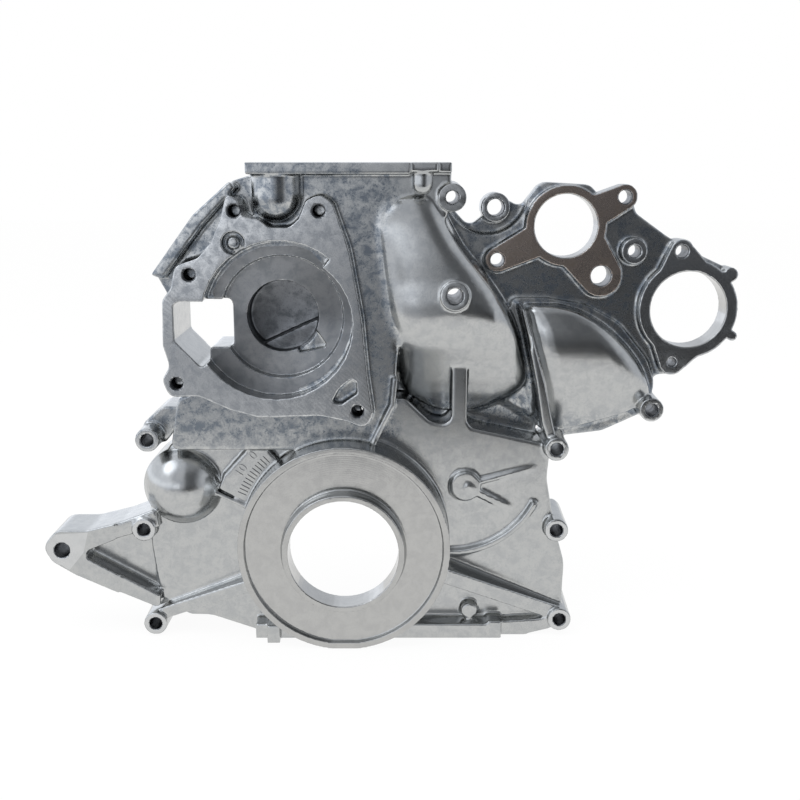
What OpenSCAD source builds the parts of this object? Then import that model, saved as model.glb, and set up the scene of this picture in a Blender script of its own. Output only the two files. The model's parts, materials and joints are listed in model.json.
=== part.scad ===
// Front timing cover of a four cylinder engine, one aluminium die casting.
// Lengths are millimetres. The crank axis runs along Y through the origin, the rear joint face
// lies on y = 0, the front looks along -Y and the head joint face looks up.

/* [Casting walls] */
// Thickness of the cast front walls
wall = 5; // [4:0.5:7]
// Width of the gasket land round the open rear
land = 8; // [6:0.5:10]
// Front of the lower body above the rear joint face
body_front = 36; // [32:1:40]
// Front of the chain case wall above the rear joint face
chain_front = 46; // [42:1:50]
// Front of the web between the pump housing and the side flange
web_front = 32; // [26:1:38]
// Floor of the valley below the chain bulge
valley_front = 9; // [7:0.5:12]
// Thickness of the rear plate on the right
plate_t = 12; // [9:0.5:15]

/* [Crank seal drum] */
// Bore for the crankshaft oil seal
seal_d = 75; // [66:0.5:80]
// Depth of the seal bore
seal_depth = 20; // [17.5:0.5:24]
// Wall of the collar round the seal bore
collar_wall = 4; // [3:0.5:6]
// Height of the collar above the drum face
collar_h = 11.5; // [6:0.5:14]
// Outside diameter of the drum
drum_d = 145; // [136:1:150]
// Width of the rim round the drum face
rim_w = 4.5; // [3:0.5:7]
// Front of the rim above the rear joint face
rim_front = 67; // [60:1:72]
// Depth of the drum face below its rim
rim_step = 3.5; // [1:0.5:5]

/* [Joint faces] */
// Crank axis down to the sump joint face
sump_drop = 72; // [70:0.5:74]
// Height of the sump rail
sump_rail_h = 11; // [8:0.5:14]
// Front of the sump rail above the rear joint face
sump_rail_front = 50; // [44:1:56]
// Crank axis up to the head joint face
head_rise = 258; // [254:0.5:264]
// Thickness of the head rail
head_rail_t = 7.5; // [6:0.5:10]
// Front of the head rail above the rear joint face
head_rail_front = 65; // [61:1:70]
// Width of the chain slot in the head rail
chain_slot_w = 96; // [70:1:100]
// Depth of the chain slot from the rear joint face
chain_slot_d = 18; // [12:1:24]

/* [Bolt bosses] */
// Clearance hole for an M8 cover bolt
bolt_d = 8.6; // [8.2:0.1:9.4]
// Outside diameter of a bolt boss
boss_d = 16.5; // [14:0.5:19]
// Growth of a boss radius towards its root
boss_draft = 1; // [0:0.25:2]
// Front of the tall bolt bosses above the rear joint face
boss_front = 46; // [40:1:52]
// Front of the bolt boss beside the right lobe
lobe_boss_front = 34; // [26:1:40]

/* [Pump housing] */
// Front of the pump joint face above the rear joint face
pump_face = 60; // [56:1:64]
// Bore of the impeller chamber
chamber_d = 82; // [76:0.5:84]
// Floor of the impeller chamber above the rear joint face
chamber_floor = 40; // [36:1:43]
// Floor of the scroll above the rear joint face
scroll_floor = 46; // [44:1:52]
// Radius of the scroll at its throat
scroll_throat_r = 44.5; // [43:0.5:47]
// Growth of the scroll radius from its throat to the outlet
scroll_growth = 12.5; // [8:0.5:15]
// Radius of the relief over the top of the chamber
relief_r = 51.5; // [48:0.5:54]
// Bore of the suction port
suction_d = 48; // [40:0.5:52]
// Floor of the suction port above the rear joint face
suction_floor = 25; // [23:0.5:28]
// Step in the suction port above the rear joint face
suction_step = 33; // [30:0.5:35]
// Depth of the rear pocket behind the pump housing
pump_pocket_d = 20; // [14:0.5:21]
// Tapping hole of an M10 pump stud
stud_d = 8.5; // [6.8:0.1:9]
// Depth of the shallowest tapping hole
stud_depth = 15; // [12:0.5:15]

/* [Coolant ports] */
// Crank axis out to the side coolant port
side_port_out = 237.5; // [233:0.5:242]
// Bore of the upper coolant port
port_d = 43; // [36:0.5:46]
// Land round the upper coolant port
port_land = 6; // [4:0.5:8]
// Front of the machined pads on the right plate
pad_front = 18; // [14:0.5:22]
// Front of the ring bosses on the right plate
ring_front = 20; // [16:0.5:24]
// Bore of the side coolant port
side_port_d = 52.5; // [44:0.5:56]
// Outside diameter of the ring round the side port
side_ring_d = 68.5; // [66:0.5:74]
// Front of the ring round the side port
side_ring_front = 20; // [16:0.5:26]

/* [Ear bracket] */
// Crank axis out to the ear bolt
ear_out = 198.5; // [190:0.5:206]
// Clearance hole for the M10 bolt in the ear
ear_bolt_d = 10.6; // [10.2:0.1:12]
// Front of the machined ear face above the rear joint face
ear_front = 46; // [40:1:50]
// Back of the ear above the rear joint face
ear_back = 8; // [0:1:14]
// Floor of the pocket between the ear arms
ear_floor = 31; // [24:1:34]
// Step from the machined ear face to the cast arms
ear_step = 1.5; // [0.5:0.5:3]

/* [Cast forms] */
// Radius of the dome on the lower left
dome_r = 27; // [22:0.5:29]
// Rise of the dome above the lower body
dome_rise = 19; // [15:0.5:22]
// Crown of the chain bulge above the rear joint face
bulge_crown = 57; // [53:1:61]
// Crown of the right lobe above the rear joint face
lobe_crown = 36; // [30:1:40]
// Front of the skirt round the right lobe
skirt_front = 15; // [13:0.5:18]
// Thickness of a stiffening rib
rib_t = 4; // [3:0.5:6]
// Thickness of the wide ribs between the drum and the lower bolt columns
wide_rib_t = 11; // [8:0.5:13]
// Rise of the low ribs and pads above the wall that carries them
rib_rise = 4; // [2:0.5:7]

/* [Hidden] */
$fn = 48;

// Overlap that joins solids and clears cuts
lap = 1;
// Arc steps at a rounded corner of an outline
corner_steps = 5;

// Places in the front view, x right and y up from the crank axis
bolt_at = [[-135, 72], [-140.5, 7.5], [-135.5, -62.5], [151.5, -59.5], [147.5, 7], [146, 65.5]];
lobe_boss_at = [212.5, 90.5];
bulge_boss_at = [74.5, 172];
corner_boss_at = [72.5, 235.5];
pump_at = [-40.5, 157];
// Pump studs: x, y and the depth of the hole beyond the shallowest one
stud_at = [[-68.5, 227.5, 2], [-14, 227.5, 3], [-99, 186.5, 1], [-110, 114.5, 0], [10, 95.5, 4]];
dome_at = [-113.5, 36.5];
port_at = [151.5, 215.5];
side_port_at = [side_port_out, 158.5];
ear_at = [-ear_out, -7.5];
pin_at = [-69.5, 207];
pad_at = [84, 37];
nub_at = [87.5, -54];
dish_at = [98, 237];

// Ears and ring bosses of the right plate: x, y, outside radius and bore radius
port_ears = [[105, 192.5, 8.5, 4.6], [191, 235, 8.5, 4.6], [176.5, 181.5, 14.5, 6.9]];
ring_bosses = [[103, 228, 10, 5.7], [198.5, 198.5, 9, 4.3]];
side_ears = [[side_port_out - 6.5, 198.5, 8, 4.3], [side_port_out - 9.5, 121.5, 9, 3]];
// Cast nubs on the rim of the side port: x, y and radius
side_nubs = [[side_port_out + 28, 182.5, 5], [side_port_out + 31.5, 140, 3.5]];
// Extra radius of the bosses on the chain bulge and at the upper corner
bulge_boss_more = 1.5;
corner_boss_more = 1;
// Radius of the round pad and of the nub on the lower body
pad_r = 10.5;
nub_r = 6;
// Dish in the right plate round the first ring boss
dish_r = 27.5;
dish_floor = 5;
// Draw of the side ears into the ring they stand on
side_ear_root = 4;
// Growth of a port arm from its ear to the port
port_arm_growth = 5;

// Pieces of the head rail: left x, right x, lift of the underside and set back of the front
head_pieces = [[-60, 45, 0, 0], [46, 63, 1.5, 2], [60, 71.5, 1, 6]];
// Upright columns under the head rail: x, foot of the straight part, radius and set back of the axis
head_columns = [[52.5, 244, 7, 10], [-42, 236, 16, 17]];

// Opening towards the sump between the end walls
sump_open = [-60, 130];

// Outlines in the front view, each corner as x, y and corner radius, counterclockwise
body_outline = [
    [-120, 68, 6], [-131, 52, 6], [-138, -4, 30], [-133, -46, 8], [-113, -60, 10], [-97, -60.5, 20],
    [-64, -sump_drop, 10], [128, -sump_drop, 16], [149, -67, 8], [154, -54, 8], [155, -20, 30], [147, 8, 20],
    [141, 42, 20], [143, 66, 5], [84.5, 79, 6], [60, 82, 12], [42, 99, 8], [24, 99, 6], [0, 66, 10]
];
bar_outline = [[60, 76, 1], [98, 70, 1], [84.5, 82, 8], [84.5, 122.5, 1.5], [74, 122.5, 1.5], [74, 84, 8]];
case_outline = [
    [-119, 65, 5], [18, 65, 8], [35, 97, 8], [36.5, 128, 10], [40, 150, 10], [62, 200, 10], [71, 230, 8],
    [72, head_rise - lap, 3], [-58, head_rise - lap, 3], [-58, 222, 8], [-80, 112, 8], [-112, 102, 6],
    [-114, 96, 6]
];
web_outline = [
    [-113, 98, 5], [0, 98, 5], [0, head_rise - head_rail_t, 5], [-58, head_rise - head_rail_t, 2],
    [-73, 246, 3], [-98, 224, 20], [-127, 185, 3], [-120, 172, 4], [-117, 160, 10], [-117, 112, 8]
];
pump_outline = [
    [-73, 238, 5], [-77, 223, 5], [-84, 207, 10], [-93, 197, 8], [-108, 192, 7], [-111, 178, 8],
    [-117, 170, 7], [-118, 140, 10], [-114, 126, 8], [-119.5, 117, 6], [-115, 105, 7], [-96, 106, 10],
    [-75, 96.5, 15], [-55, 91, 20], [-15, 92.5, 20], [3, 88.5, 8], [15, 83.5, 7], [20.5, 93, 8],
    [17, 118, 40], [13.5, 157, 60], [5.5, 203, 60], [-5, 233, 7], [-13, 238, 6], [-22, 234, 5],
    [-27, 222, 4], [-33, 217, 6], [-46, 217, 5], [-52, 222, 3], [-63, 224, 4], [-66, 235, 4]
];
plate_outline = [
    [66, 236, 4], [86, 214.5, 8], [95, 222, 4], [112, 233, 5], [121, 228, 5], [134, 245, 10],
    [168, 243, 8], [176, 234, 6], [196, 238, 6], [200, 224, 6], [221, 209, 4], [226, 206, 4],
    [side_port_out + 0.5, 206, 6], [side_port_out + 6.5, 196, 8], [side_port_out + 28.5, 186, 4],
    [side_port_out + 34.5, 158, 30], [side_port_out + 26.5, 136, 10], [side_port_out + 2.5, 122, 6],
    [232, 112, 6], [218, 111, 6], [208, 84, 8], [150, 70, 8], [60, 120, 8]
];
lobe_skirt = [
    [113, 166, 6], [124, 112, 4], [136, 74, 3], [150, 67, 6], [182, 71, 12], [210, 84, 14], [219, 104, 20],
    [212, 123, 30], [191, 148.5, 30], [167, 161.5, 20], [140, 166, 12]
];
valley_outline = [[20, 60, 4], [138, 60, 4], [128, 112, 6], [30, 132, 6]];
side_flange_outline = [
    [-127, 185, 1], [-98, 224, 20], [-73, 246, 1], [-68.5, 242, 1], [-92, 217, 20], [-119, 182, 1]
];
sump_rail_outline = [
    [-64, -sump_drop, 1], [110, -sump_drop, 1], [110, -sump_drop + sump_rail_h + 2, 1],
    [100, -sump_drop + sump_rail_h + 2, 1], [100, -sump_drop + sump_rail_h, 2],
    [-64, -sump_drop + sump_rail_h, 1]
];
sump_end_outline = [
    [104, -sump_drop, 1], [127, -sump_drop, 14], [147, -67, 4], [147, -59, 4],
    [104, -sump_drop + sump_rail_h - lap, 1]
];
boss_block_outline = [
    [-112, 84, 3], [-112, 92, 4], [-127, 92.5, 6], [-141, 80, 5], [-141, 72, 2], [-126, 66, 2]
];
chain_pocket = [
    [12, 72, 4], [17, 72, 4], [30, 100, 6], [31, 132, 6], [34, 150, 8], [56, 198, 10], [62, 246, 5],
    [12, 246, 5]
];
pump_pocket = [
    [-108, 74, 5], [15, 74, 5], [15, 246, 5], [-52, 246, 5], [-62, 224, 8], [-62, 108, 8], [-108, 96, 5]
];
ear_outline = [
    [-ear_out - 13.5, -5, 10], [-ear_out - 7.5, -16, 10], [-ear_out + 8.5, -26, 15], [-165, -37.5, 15],
    [-132, -52, 3], [-128, 0, 3], [-132, 22, 3], [-156, 13, 20], [-180, 7, 20], [-ear_out - 3.5, 7, 10]
];
ear_pocket = [[-ear_out + 11.5, -10.5, 4], [-125, -45.5, 1], [-125, 10.6, 1], [-160, 0.5, 8]];
// Corners of the part of the ear that keeps its cast face
ear_cast = [[-160, -60], [-120, 40]];
window_outline = [
    [-110, 169, 4], [-110, 143, 4], [-90, 122, 3], [-89, 137, 2], [-74, 137, 2], [-74, 169, 4]
];
pump_triangle = [
    [-7.5, 101.5, 2], [-1, 100, 3], [10, 107.5, 3], [9.5, 115.5, 2], [5.5, 117.5, 2], [-2.5, 110.5, 6]
];
suction_notch = [[-32, 146, 1], [-30, 132, 1], [-10, 136, 2], [-18.5, 148, 1]];
scale_outline = [[-84, 46, 2], [-88, 36, 2], [-66, 24, 2], [-42, 52, 2], [-54, 66, 2], [-66, 66, 3]];

// Stations of a form from its top to its foot: y, left x, right x, share of the crown and flatness
bulge_stations = [
    [238, 36, 64, 0.8, 3], [230, 25, 67, 0.9, 3.4], [218, 20.5, 72.5, 0.96, 4], [202, 22.5, 82, 0.99, 4.4],
    [182, 25.5, 98, 1, 5], [160, 29, 113, 0.99, 5.4], [142, 32.5, 120.5, 0.87, 6],
    [126, 35.5, 124.5, 0.68, 6.5], [114, 37.5, 127, 0.54, 7], [105.5, 39, 126, 0.45, 7],
    [98.5, 43.5, 118, 0.39, 7], [93.5, 50, 109, 0.35, 7], [89.5, 57.5, 99.5, 0.33, 7], [86.5, 66.5, 87.5, 0.31, 7]
];
lobe_stations = [
    [162, 125, 148, 0.75, 4], [159, 123.5, 160, 0.88, 4], [154, 124, 171, 0.95, 4.2],
    [146, 125.5, 183, 1, 4.5], [135, 127.5, 194.5, 1, 5], [122, 130, 205, 0.95, 5],
    [108, 133, 212, 0.86, 5.5], [97, 135, 213, 0.76, 6], [86, 138, 200, 0.66, 6], [74, 142, 160, 0.55, 6]
];
// Rings skinned between two stations and points along a ring
ring_steps = 3;
skin_steps = 18;

// Straight ribs of the lower body: start, end, front at the start, front at the end and thickness
body_ribs = [
    [[-135, -58], [-60, -29], boss_front - rib_rise, rim_front - 14, wide_rib_t - 2],
    [[150, -56.5], [60, -18.5], boss_front - rib_rise, rim_front - 8, wide_rib_t],
    [pad_at, [135, 50.5], body_front + rib_rise - lap, body_front, rib_t - 1],
    [pad_at, [118, 18.5], body_front + rib_rise, body_front, rib_t + 1],
    [[-91, 34], [-68, 22.5], body_front + rib_rise + 3, body_front + rib_rise + 3, rib_t - 1]
];
// Two lengths of the rib that climbs from the drum to the chain bulge
case_ribs = [[[17, 64], [33, 97]], [[33, 95], [35, 116]]];
case_rib_front = chain_front + rib_rise - lap;
// Outline of the ridge that falls from the chain bulge to a bolt column, and its front
ridge_outline = [
    [119.5, 163, 1], [124.5, 144, 20], [131.5, 110, 30], [136, 82, 10], [141, 68, 2], [147.5, 68, 2],
    [143.5, 82, 10], [137.5, 110, 30], [129, 140, 20], [122.5, 162, 1]
];
ridge_front = 41;
// Curved rib of the lower body: its centre, radius, start and turn
arc_rib = [[74, 54], 63.5, -92, 66];
// Ribs in the pocket behind the pump housing: start and end
rear_ribs = [[[-20, 70], [-20, 248]], [[-66, 126], [11, 126]], [[-66, 186], [11, 186]]];
rear_rib_back = 4;
// Foot of the drum at the left end of the sump rail
drum_foot = [[-55, -46], 13, 22];

// Blind pin in the pump joint face: recess radius, recess depth and pin radius
pin_recess = [7.5, 6, 4];
// Slanted split of the suction port: its turn and its distance below the port axis
suction_split = [24.4, 12.2];
// Depth of the triangular relief and the notch of the suction port
relief_depth = 8;
notch_depth = 5;

drum_face = rim_front - rim_step;
// Middle of the lower body wall, where the forms that stand on it begin
body_root = body_front - wall / 2;
collar_front = drum_face + collar_h;
// Fronts of the bosses on the chain bulge and at the upper corner
bulge_front = bulge_crown + 2 * lap;
corner_front = chain_front + 1.5 * lap;
drum_r = drum_d / 2;
boss_r = boss_d / 2;
head_rail_foot = head_rise - head_rail_t;

// Unit vector from a to b
function towards(a, b) = (b - a) / norm(b - a);
// Place of a corner without its radius
function place(corner) = [corner[0], corner[1]];
// Left hand normal of the edge from a to b
function left_normal(a, b) = let (d = towards(a, b)) [-d[1], d[0]];
// Arc points that round one corner p between its neighbours a and b, kept within its two edges
function corner_arc(a, p, b, r) =
    let (da = towards(p, a), db = towards(p, b), half = acos(da * db) / 2)
    let (reach = min(r / tan(half), 0.48 * norm(a - p), 0.48 * norm(b - p)), fit = reach * tan(half))
    let (from = p + da * reach, to = p + db * reach)
    let (centre = p + towards([0, 0], da + db) * fit / sin(half))
    let (start = atan2(from[1] - centre[1], from[0] - centre[0]))
    let (end = atan2(to[1] - centre[1], to[0] - centre[0]))
    let (turn = atan2(sin(end - start), cos(end - start)))
    [for (i = [0:corner_steps])
        let (angle = start + turn * i / corner_steps)
        centre + fit * [cos(angle), sin(angle)]];
// Outline with every corner rounded by its own radius
function rounded(corners) =
    let (n = len(corners))
    [for (i = [0:n - 1]) each corner_arc(
        place(corners[(i + n - 1) % n]), place(corners[i]), place(corners[(i + 1) % n]), corners[i][2])];
// Outline moved inwards by d
function inset(corners, d) =
    let (n = len(corners))
    [for (i = [0:n - 1])
        let (a = place(corners[(i + n - 1) % n]), p = place(corners[i]), b = place(corners[(i + 1) % n]))
        let (na = left_normal(a, p), nb = left_normal(p, b))
        let (q = p + (na + nb) * d / (1 + na * nb))
        [q[0], q[1], max(corners[i][2] - d, 2)]];
// Stations on a smooth curve through the given ones
function eased(s) =
    let (n = len(s))
    [for (i = [0:n - 2], k = [0:ring_steps - 1])
        let (t = k / ring_steps, a = s[max(i - 1, 0)], b = s[i], c = s[i + 1], d = s[min(i + 2, n - 1)])
        b + (c - a) / 2 * t + (a - 2.5 * b + 2 * c - d / 2) * t * t + (1.5 * (b - c) + (d - a) / 2) * t * t * t,
     s[n - 1]];
// Outline of the scroll and its top relief about the chamber axis, clockwise from the throat
scroll_start = 50;
scroll_turn = 205;
relief_end = 170;
scroll_outline = concat(
    [for (turn = [0:scroll_turn / 20:scroll_turn])
        let (r = scroll_throat_r + scroll_growth * turn / scroll_turn, angle = scroll_start - turn)
        r * [cos(angle), sin(angle)]],
    [for (angle = [relief_end:-10:scroll_start]) relief_r * [cos(angle), sin(angle)]]);

// Prism on a rounded outline between two heights
module slab(corners, from, to) {
    translate([0, 0, from])
        linear_extrude(to - from)
            polygon(rounded(corners));
}

// Column at a place in the front view, with draft towards its root
module column(at, r, from, to, draft = 0) {
    translate([at[0], at[1], from])
        cylinder(r1 = r + draft, r2 = r, h = to - from);
}

// Straight web from p to q whose front edge falls from front_p to front_q
module web(p, q, root, front_p, front_q, t) {
    run = norm(q - p);
    translate([p[0], p[1], 0])
        rotate([0, 0, atan2(q[1] - p[1], q[0] - p[0])])
            rotate([90, 0, 0])
                linear_extrude(t, center = true)
                    polygon([[0, root], [run, root], [run, front_q], [0, front_p]]);
}

// Two rounds joined by their common tangents
module link(a, ra, b, rb, from, to) {
    d = norm(b - a);
    lead = atan2(b[1] - a[1], b[0] - a[0]);
    open = acos((ra - rb) / d);
    column(a, ra, from, to);
    column(b, rb, from, to);
    translate([0, 0, from])
        linear_extrude(to - from)
            polygon([
                a + ra * [cos(lead + open), sin(lead + open)], a + ra * [cos(lead - open), sin(lead - open)],
                b + rb * [cos(lead - open), sin(lead - open)], b + rb * [cos(lead + open), sin(lead + open)]
            ]);
}

// Crowned form skinned over stations, drawn in by a wall on its flanks, its ends and at the crown
module crowned(stations, crown, root, drawn_in = 0) {
    steps = skin_steps;
    smooth = eased(stations);
    n = len(smooth);
    top_y = smooth[0][0];
    foot_y = smooth[n - 1][0];
    rings = [for (s = smooth)
        let (mid = (s[1] + s[2]) / 2, half = (s[2] - s[1]) / 2 - drawn_in)
        let (rise = s[3] * crown - drawn_in - root)
        let (y = s[0] - drawn_in * (2 * (s[0] - foot_y) / (top_y - foot_y) - 1))
        [for (k = [0:steps])
            let (a = 180 - 180 * k / steps, c = cos(a), h = sin(a))
            [mid + sign(c) * half * pow(abs(c), 2 / s[4]), y, root + rise * pow(abs(h), 2 / s[4])]]];
    wide = steps + 1;
    skin = [for (i = [0:n - 2], k = [0:steps - 1])
        [i * wide + k, i * wide + k + 1, (i + 1) * wide + k + 1, (i + 1) * wide + k]];
    foot = [for (i = [0:n - 2]) [i * wide + steps, i * wide, (i + 1) * wide, (i + 1) * wide + steps]];
    top = [[for (k = [steps:-1:0]) k]];
    end = [[for (k = [0:steps]) (n - 1) * wide + k]];
    polyhedron(points = [for (ring = rings) each ring], faces = concat(skin, foot, top, end));
}

// Outer forms that the rear is hollowed from
module shells() {
    slab(body_outline, 0, body_front);
    slab(case_outline, 0, chain_front);
    slab(web_outline, 0, web_front);
    slab(valley_outline, 0, valley_front);
    slab(plate_outline, 0, plate_t);
    slab(lobe_skirt, 0, skirt_front);
    slab(bar_outline, 0, body_front);
    crowned(bulge_stations, bulge_crown, 0);
    crowned(lobe_stations, lobe_crown, 0);
    slab(pump_outline, lap, pump_face);
    drum();
    dome(dome_r, dome_rise, 0);
    sump_rail();
}

// Drum round the crankshaft, cut flat by the sump joint face
module drum() {
    intersection() {
        column([0, 0], drum_r, 0, rim_front);
        translate([-drum_r, -sump_drop, 0])
            cube([drum_d, sump_drop + drum_r, rim_front]);
    }
}

// Dome of radius r and a given rise over its column, which begins at a height
module dome(r, rise, from) {
    ball = (r * r + rise * rise) / (2 * rise);
    column(dome_at, r + lap, from, body_front - lap / 2);
    intersection() {
        translate([dome_at[0], dome_at[1], body_front + rise - ball])
            sphere(ball);
        column(dome_at, 2 * r, body_front - 2 * lap, body_front + rise + lap);
    }
}

// Thick rail along the sump joint face
module sump_rail() {
    slab(sump_rail_outline, 0, sump_rail_front);
    slab(sump_end_outline, 0, boss_front - 2 * lap);
}

// Spaces behind the walls, open at the rear joint face and each begun a little further behind it
module cavities() {
    slab(inset(body_outline, land), -lap, body_front - wall);
    slab(chain_pocket, -2 * lap, chain_front - wall);
    slab(pump_pocket, -3 * lap, pump_pocket_d);
    crowned(bulge_stations, bulge_crown, -4 * lap, wall);
    crowned(lobe_stations, lobe_crown, -5 * lap, wall);
    column([0, 0], sump_drop - wall - lap, -6 * lap, drum_face - wall);
    dome(dome_r - wall, dome_rise - wall, -7 * lap);
    translate([-chain_slot_w / 2, head_rail_foot - 2 * land, -8 * lap])
        cube([chain_slot_w, head_rail_t + 3 * land, chain_slot_d + 8 * lap]);
    translate([sump_open[0], -sump_drop - lap, -9 * lap])
        cube([sump_open[1] - sump_open[0], sump_rail_h + land, body_front - 2 * wall + 9 * lap]);
    column(dish_at, dish_r, dish_floor, plate_t + lap);
}

// Collar round the seal bore and the sunk face inside the rim
module seal_collar() {
    column([0, 0], seal_d / 2 + collar_wall, collar_front - seal_depth, collar_front);
    column([0, 0], seal_d / 2 + collar_wall, drum_face - lap, drum_face + 2 * collar_wall, collar_wall + lap);
}

// Head rail in three pieces over its two round nosed columns
module head_rail() {
    for (piece = head_pieces)
        translate([piece[0], head_rail_foot + piece[2], 0])
            cube([piece[1] - piece[0], head_rail_t - piece[2], head_rail_front - piece[3]]);
    for (post = head_columns)
        translate([post[0], post[1], head_rail_front - post[3]]) {
            rotate([-90, 0, 0])
                cylinder(r = post[2], h = head_rail_foot + 2 * lap - post[1]);
            sphere(post[2]);
        }
}

// Columns for every bolt and the pads they end in
module bosses() {
    for (at = bolt_at)
        column(at, boss_r, 0, boss_front, boss_draft);
    column(lobe_boss_at, boss_r, 0, lobe_boss_front, boss_draft);
    column(bulge_boss_at, boss_r + bulge_boss_more, 0, bulge_front, boss_draft);
    column(corner_boss_at, boss_r + corner_boss_more, 0, corner_front, boss_draft);
    slab(boss_block_outline, 0, web_front - 2 * lap);
    column(pad_at, pad_r, body_root, body_front + rib_rise - lap);
    column(nub_at, nub_r, body_root, body_front + 2 * rib_rise);
}

// Machined pads of the coolant ports on the right plate
module port_pads() {
    for (ear = port_ears)
        link(port_at, ear[2] + port_arm_growth, place(ear), ear[2], 0, pad_front);
    column(port_at, port_d / 2 + port_land, 0, pad_front);
    for (ring = ring_bosses)
        column(place(ring), ring[2], 0, ring_front);
    column(side_port_at, side_ring_d / 2, 0, side_ring_front);
    for (ear = side_ears)
        link(side_port_at, side_ring_d / 2 - side_ear_root, place(ear), ear[2], 0, side_ring_front);
    for (nub = side_nubs)
        column(place(nub), nub[2], 0, side_ring_front);
}

// Bracket ear at the lower left with its two arms
module ear() {
    difference() {
        slab(ear_outline, ear_back, ear_front);
        slab(ear_pocket, ear_floor, ear_front + lap);
        translate([ear_cast[0][0], ear_cast[0][1], ear_front - ear_step])
            cube([ear_cast[1][0] - ear_cast[0][0], ear_cast[1][1] - ear_cast[0][1], ear_step + lap]);
    }
}

// Stiffening ribs of the lower body, the chain case and the rear pocket
module ribs() {
    for (rib = body_ribs)
        web(rib[0], rib[1], body_root, rib[2], rib[3], rib[4]);
    slab(ridge_outline, valley_front - 2 * lap, ridge_front);
    for (rib = case_ribs)
        web(rib[0], rib[1], chain_front - wall / 2, case_rib_front, case_rib_front, rib_t);
    for (rib = rear_ribs)
        web(rib[0], rib[1], rear_rib_back, pump_pocket_d + lap, pump_pocket_d + lap, rib_t);
    translate([arc_rib[0][0], arc_rib[0][1], body_root])
        rotate([0, 0, arc_rib[2]])
            rotate_extrude(angle = arc_rib[3])
                translate([arc_rib[1], 0])
                    square([rib_t, wall / 2 + rib_rise + lap]);
    slab(side_flange_outline, 0, chain_front);
    slab(scale_outline, body_root, body_front + rib_rise + 2 * lap);
    translate([drum_foot[0][0], -sump_drop, body_front])
        cube([drum_foot[0][1] - drum_foot[0][0], drum_foot[1], drum_foot[2]]);
}

// Suction port with its slanted step and the notch beside it
module suction_port() {
    difference() {
        column(pump_at, suction_d / 2, suction_floor, pump_face);
        translate([pump_at[0], pump_at[1], 0])
            rotate([0, 0, suction_split[0]])
                translate([-suction_d, -suction_d - suction_split[1], 0])
                    cube([2 * suction_d, suction_d, suction_step]);
    }
    slab(suction_notch, chamber_floor - notch_depth, pump_face - lap);
}

// Pump chamber, scroll, suction port and outlet window cut into the pump joint face
module pump_cuts() {
    column(pump_at, chamber_d / 2, chamber_floor, pump_face + lap);
    translate([pump_at[0], pump_at[1], scroll_floor])
        linear_extrude(pump_face)
            polygon(scroll_outline);
    suction_port();
    slab(window_outline, -lap, pump_face + lap);
    slab(pump_triangle, pump_face - relief_depth, pump_face + lap);
    difference() {
        column(pin_at, pin_recess[0], pump_face - pin_recess[1], pump_face + lap);
        column(pin_at, pin_recess[2], 0, pump_face - lap);
    }
    for (stud = stud_at)
        column(place(stud), stud_d / 2, pump_face - stud_depth - stud[2], pump_face + lap);
}

// Bores for bolts, ports and the crankshaft
module bores() {
    for (at = bolt_at)
        column(at, bolt_d / 2, -lap, boss_front + lap);
    column(lobe_boss_at, bolt_d / 2, -lap, lobe_boss_front + lap);
    column(bulge_boss_at, bolt_d / 2 + lap, -lap, bulge_front + lap);
    column(corner_boss_at, bolt_d / 2, -lap, corner_front + lap);
    column(ear_at, ear_bolt_d / 2, 0, ear_front + lap);
    column(port_at, port_d / 2, -lap, pad_front + lap);
    column(side_port_at, side_port_d / 2, -lap, side_ring_front + lap);
    for (hole = concat(port_ears, ring_bosses, side_ears))
        column(place(hole), hole[3], -lap, pad_front + ring_front);
    column([0, 0], seal_d / 2, collar_front - seal_depth - lap, collar_front + lap);
    difference() {
        column([0, 0], drum_r - rim_w, drum_face, rim_front + lap);
        translate([-drum_r, -drum_d, 0])
            cube([drum_d, drum_d - sump_drop + rim_w, rim_front + 2 * lap]);
        column([0, 0], seal_d / 2 + collar_wall, 0, collar_front + lap);
    }
}

// The whole casting
module timing_cover() {
    color("silver")
        rotate([90, 0, 0])
            difference() {
                union() {
                    difference() {
                        shells();
                        cavities();
                    }
                    seal_collar();
                    head_rail();
                    bosses();
                    port_pads();
                    ear();
                    ribs();
                }
                pump_cuts();
                bores();
            }
}

timing_cover();
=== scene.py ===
"""Dress the cast timing cover: cast skin, machined faces, timing scale, stud threads, studio and camera."""

import json
import logging
import math
from dataclasses import dataclass, field
from enum import Enum

import bmesh
import bpy
import numpy as np
from mathutils import Matrix, Vector


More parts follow.
